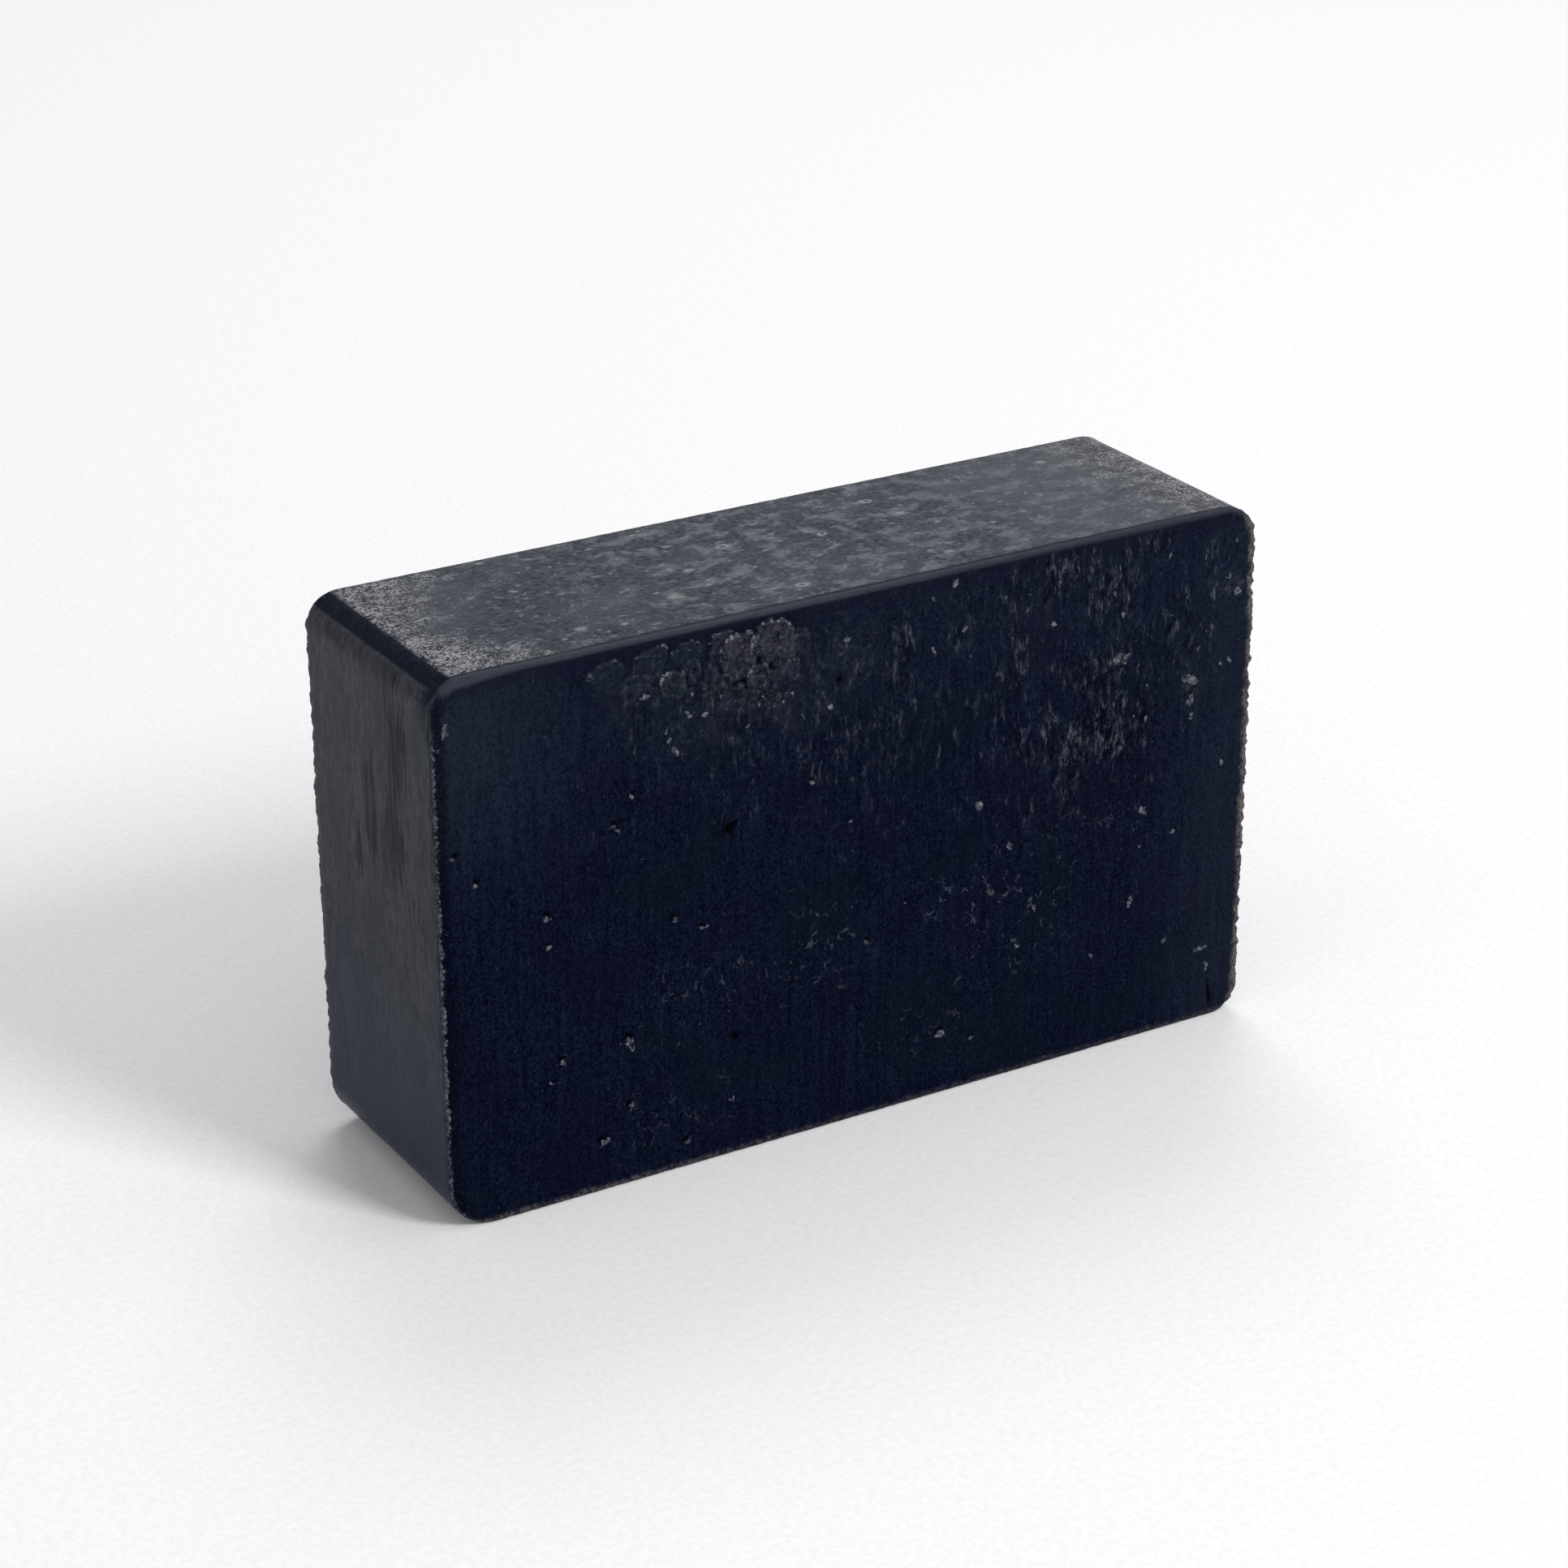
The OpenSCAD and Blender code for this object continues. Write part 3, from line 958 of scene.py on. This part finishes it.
def top_colour(n, places, dashes):
    """Slate grey and finely mottled, lighter towards the right with a painted sheen, with pale blotches,
    granular ash, broken bubbles and fine cracks.
    """
    lengthwise = n.stretched(places, 0.8, 1, 1)
    clouds = n.noise(lengthwise, 420, 7, 0.1, 0.66)
    shade = n.noise(places, 90, 3)
    spots = n.noise(lengthwise, 1500, 3, 0.3, 0.6)
    curls = n.noise(lengthwise, 1900, 3, 1.2)
    curly = n.between(n.math("ABSOLUTE", n.minus(curls, 0.5)), 0, 0.1, 1, 0)
    density = n.plus(n.product(n.mask("ash"), 0.62), n.between(clouds, 0.35, 0.65, -0.22, 0.14))
    ash = n.between(n.plus(n.product(curly, 0.8), density), 0.75, 1.15)
    spotty = n.product(n.between(spots, 0.59, 0.65), n.between(clouds, 0.4, 0.54, 0.25, 0.9))
    colour = n.blend(n.between(dashes, 0.36, 0.64), TOP_DARK, TOP_LIGHT)
    colour = n.painted(
        colour,
        (n.between(shade, 0.45, 0.65, 0, 0.5), TOP_CLOUD),
        # Painted sheen, lighter towards the right end
        (n.between(n.part(places, 0), 0.012, 0.032, 0, 0.55), TOP_RIGHT_SHEEN),
        (n.product(n.mask("blotch"), n.between(clouds, 0.47, 0.6)), BLOTCH),
        (spotty, SPOT),
        (top_cracks(n, places), TOP_CRACK),
        (n.product(n.mask("ash"), n.between(clouds, 0.35, 0.6, 0.1, 0.5)), ASH_HAZE),
        (ash, ASH),
        (n.product(n.mask("ash"), n.between(curly, 0.3, 0, 0, 0.85)), ASH_GAP),
        (bubble_marks(n, places), BUBBLE),
    )
    return colour, curly


def top_cracks(n, places):
    """Short fine cracks in the right half of the top."""
    swirl = n.noise(n.stretched(places, 0.7, 1.3, 1), 330, 4, 0.4, 0.6)
    line = n.between(n.math("ABSOLUTE", n.minus(swirl, 0.5)), 0.004, 0.014, 1, 0)
    broken = n.between(n.noise(places, 420, 2), 0.52, 0.6)
    return n.product(line, broken, n.between(n.part(places, 0), -0.005, 0.02, 0.15, 0.75))


def end_colour(n, places, lines):
    """Olive grey, brushed upright, bluer low down, with dark rubbed streaks."""
    clouds = n.noise(n.upright(places, 0.4), 200, 5, 0.3, 0.6)
    mottle = n.noise(n.upright(places, 0.5), 1500, 4, 0.4, 0.6)
    tone = n.plus(n.product(lines, 0.4), n.product(mottle, 0.6))
    colour = n.blend(n.between(tone, 0.36, 0.62), END_DARK, END_LIGHT)
    colour = n.blend(n.between(clouds, 0.44, 0.6, 0, 0.6), colour, END_CLOUD)
    low = n.between(n.part(places, 2), 0.03, 0.004, 0, 0.75)
    colour = n.blend(low, colour, END_LOW)
    rubbed = n.product(rubbed_places(n, places), n.between(lines, 0.38, 0.57, 0.5, 1))
    return n.blend(rubbed, colour, RUBBED)


def film_colour(n, places):
    """Grey film of the moulded faces, and its fine relief."""
    dashes = n.noise(n.stretched(places, 0.75, 1, 1), 1900, 5, 0.6, 0.72)
    lines = n.noise(n.upright(places, 0.09), 2600, 4, 0.3, 0.6)
    top, curly = top_colour(n, places, dashes)
    band = dark_band(n, places)
    rest = n.minus(1, band)
    colour = n.blend(n.mask("top"), end_colour(n, places, lines), top)
    # The rounded upper left edge and the strip beside it get painted shade
    edge_shade = n.most(n.mask("edge_shade"), band)
    colour = n.blend(n.product(edge_shade, n.between(dashes, 0.3, 0.6, 1, 0.95)), colour, EDGE_SHADE)
    colour = n.blend(n.product(edge_line(n, places), n.mask("top")), colour, EDGE_LINE)
    relief = n.plus(n.product(dashes, n.mask("top"), rest), n.product(lines, n.mask("end"), 0.35))
    relief = n.plus(relief, n.product(curly, n.mask("ash"), rest, 0.6))
    return colour, relief


def charcoal(name, specular, roughness):
    """Near-black dry charcoal. The moulded faces are satin and filmed with grey, the cut ones matt."""
    material = bpy.data.materials.new(name)
    material.use_nodes = True
    tree = material.node_tree
    tree.nodes.clear()
    n = Nodes(tree)
    places = n.put("TexCoord").outputs["Object"]
    grain = n.noise(places, 3000, 3)
    cut, cut_relief = cut_colour(n, places)
    film, film_relief = film_colour(n, places)
    colour = n.blend(n.mask("cut"), film, cut)
    fading = n.between(n.part(places, 0), -0.005, 0.03, 1, 0.6)
    # Painted highlight along the upper bevel, weaker to the right
    colour = n.blend(n.product(n.mask("bevel"), n.between(grain, 0.2, 0.7, 0.6, 1), fading), colour, BEVEL_HIGHLIGHT)
    # Brownish burrs with a painted highlight
    colour = n.blend(n.product(n.mask("burr_and_highlight"), n.between(grain, 0.3, 0.6)), colour, BURR_AND_HIGHLIGHT)
    wavy = n.noise(n.stretched(places, 1, 0, 0), 500, 3)
    low = n.plus(n.part(places, 2), n.product(wavy, 0.001))
    lip = n.product(n.mask("lip"), n.between(low, 0.0015, 0.0009), n.between(grain, 0.4, 0.6, 0.15, 1))
    lip = n.product(lip, n.between(n.part(places, 0), 0, -0.03, 0.45, 1))
    colour = n.blend(lip, colour, LIP)

    height = n.blend(n.mask("cut"), film_relief, cut_relief)
    bump = n.put("Bump",
                 {"Height": height, "Strength": BUMP_STRENGTH, "Distance": BUMP_DISTANCE})
    inputs = {"Base Color": colour, "Roughness": n.between(grain, 0.3, 0.7, roughness, roughness + 0.1),
              "Normal": bump.outputs[0], "Specular IOR Level": specular,
              "Specular Tint": SPECULAR_TINT}
    surface = n.put("BsdfPrincipled", inputs)
    output = n.put("OutputMaterial")
    tree.links.new(surface.outputs[0], output.inputs["Surface"])
    return material


# ---- floor, lights, camera

# The floor's half width in metres, and its two paints
FLOOR_REACH = 4
FLOOR_GREY, FLOOR_WHITE = (0.765, 0.765, 0.776, 1), (0.835, 0.835, 0.844, 1)

# The lights: azimuth and elevation in degrees, distance and size in metres, power in watts
KEY_LIGHT = (24, 36, 1.3, 0.36, 11.2)
FILL_LIGHT = (150, 55, 1.3, 0.6, 5.4)
ROOM_STRENGTH = 0.805
ROOM_WHITE, ROOM_DIM = (1, 1, 1, 1), (0.05, 0.05, 0.07, 1)

# The camera's place in metres, its angles in degrees, and its lens and sensor in millimetres
CAMERA_PLACE = (-0.1831, -0.3065, 0.1875)
CAMERA_YAW, CAMERA_PITCH, CAMERA_ROLL = 30.77, -23.75, 0.25
LENS, SENSOR = 92.45, 36


def pale_floor():
    """A matt, almost white floor with a faint speckle."""
    mesh = bpy.data.meshes.new("floor")
    corners = [(x * FLOOR_REACH, y * FLOOR_REACH, 0) for x, y in ((-1, -1), (1, -1), (1, 1), (-1, 1))]
    mesh.from_pydata(corners, [], [(0, 1, 2, 3)])
    floor = bpy.data.objects.new("floor", mesh)
    bpy.context.scene.collection.objects.link(floor)
    material = bpy.data.materials.new("pale_floor")
    material.use_nodes = True
    surface = material.node_tree.nodes["Principled BSDF"]
    n = Nodes(material.node_tree)
    speckle = n.noise(n.put("TexCoord").outputs["Object"], 1400, 4, 0, 0.8)
    pale = n.blend(n.between(speckle, 0.3, 0.7), FLOOR_GREY, FLOOR_WHITE)
    material.node_tree.links.new(pale, surface.inputs["Base Color"])
    surface.inputs["Roughness"].default_value = 0.9
    surface.inputs["Specular IOR Level"].default_value = 0.1
    mesh.materials.append(material)


def area_light(name, azimuth, elevation, distance, size, power):
    """A square soft light that aims at the bar. Azimuth 0 is in front of the bar, 90 to its right."""
    a, e = math.radians(azimuth), math.radians(elevation)
    back = Vector((math.sin(a) * math.cos(e), -math.cos(a) * math.cos(e), math.sin(e)))
    data = bpy.data.lights.new(name, "AREA")
    data.size = size
    data.energy = power
    light = bpy.data.objects.new(name, data)
    light.location = back * distance
    light.rotation_mode = "QUATERNION"
    light.rotation_quaternion = back.to_track_quat("Z", "Y")
    bpy.context.scene.collection.objects.link(light)


def white_room(strength):
    """A white room whose far wall is dimmer high up, so that edges which face it stay dark."""
    world = bpy.data.worlds.new("room")
    bpy.context.scene.world = world
    world.use_nodes = True
    n = Nodes(world.node_tree)
    direction = n.put("TexCoord").outputs["Generated"]
    high = n.between(n.part(direction, 2), 0.42, 0.56)
    far = n.between(n.part(direction, 1), 0, 0.4)
    light = n.blend(n.product(high, far), ROOM_WHITE, ROOM_DIM)
    background = world.node_tree.nodes["Background"]
    world.node_tree.links.new(light, background.inputs["Color"])
    background.inputs["Strength"].default_value = strength


def photo_camera():
    """The camera in front of the bar, left of it and above it."""
    data = bpy.data.cameras.new("camera")
    data.lens = LENS
    data.sensor_width = SENSOR
    data.clip_start, data.clip_end = 0.01, 20
    camera = bpy.data.objects.new("camera", data)
    camera.location = CAMERA_PLACE
    camera.rotation_mode = "XYZ"
    camera.rotation_euler = (math.radians(90 + CAMERA_PITCH), math.radians(CAMERA_ROLL),
                             math.radians(-CAMERA_YAW))
    bpy.context.scene.collection.objects.link(camera)
    bpy.context.scene.camera = camera


def main():
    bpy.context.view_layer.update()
    scene = bpy.context.scene
    scene.view_settings.view_transform = "Standard"
    photo_camera()
    white_room(ROOM_STRENGTH)
    area_light("key", *KEY_LIGHT)
    area_light("fill", *FILL_LIGHT)
    pale_floor()
    bar = bar_mesh()
    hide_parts("bar")
    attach(bar, "root")


main()
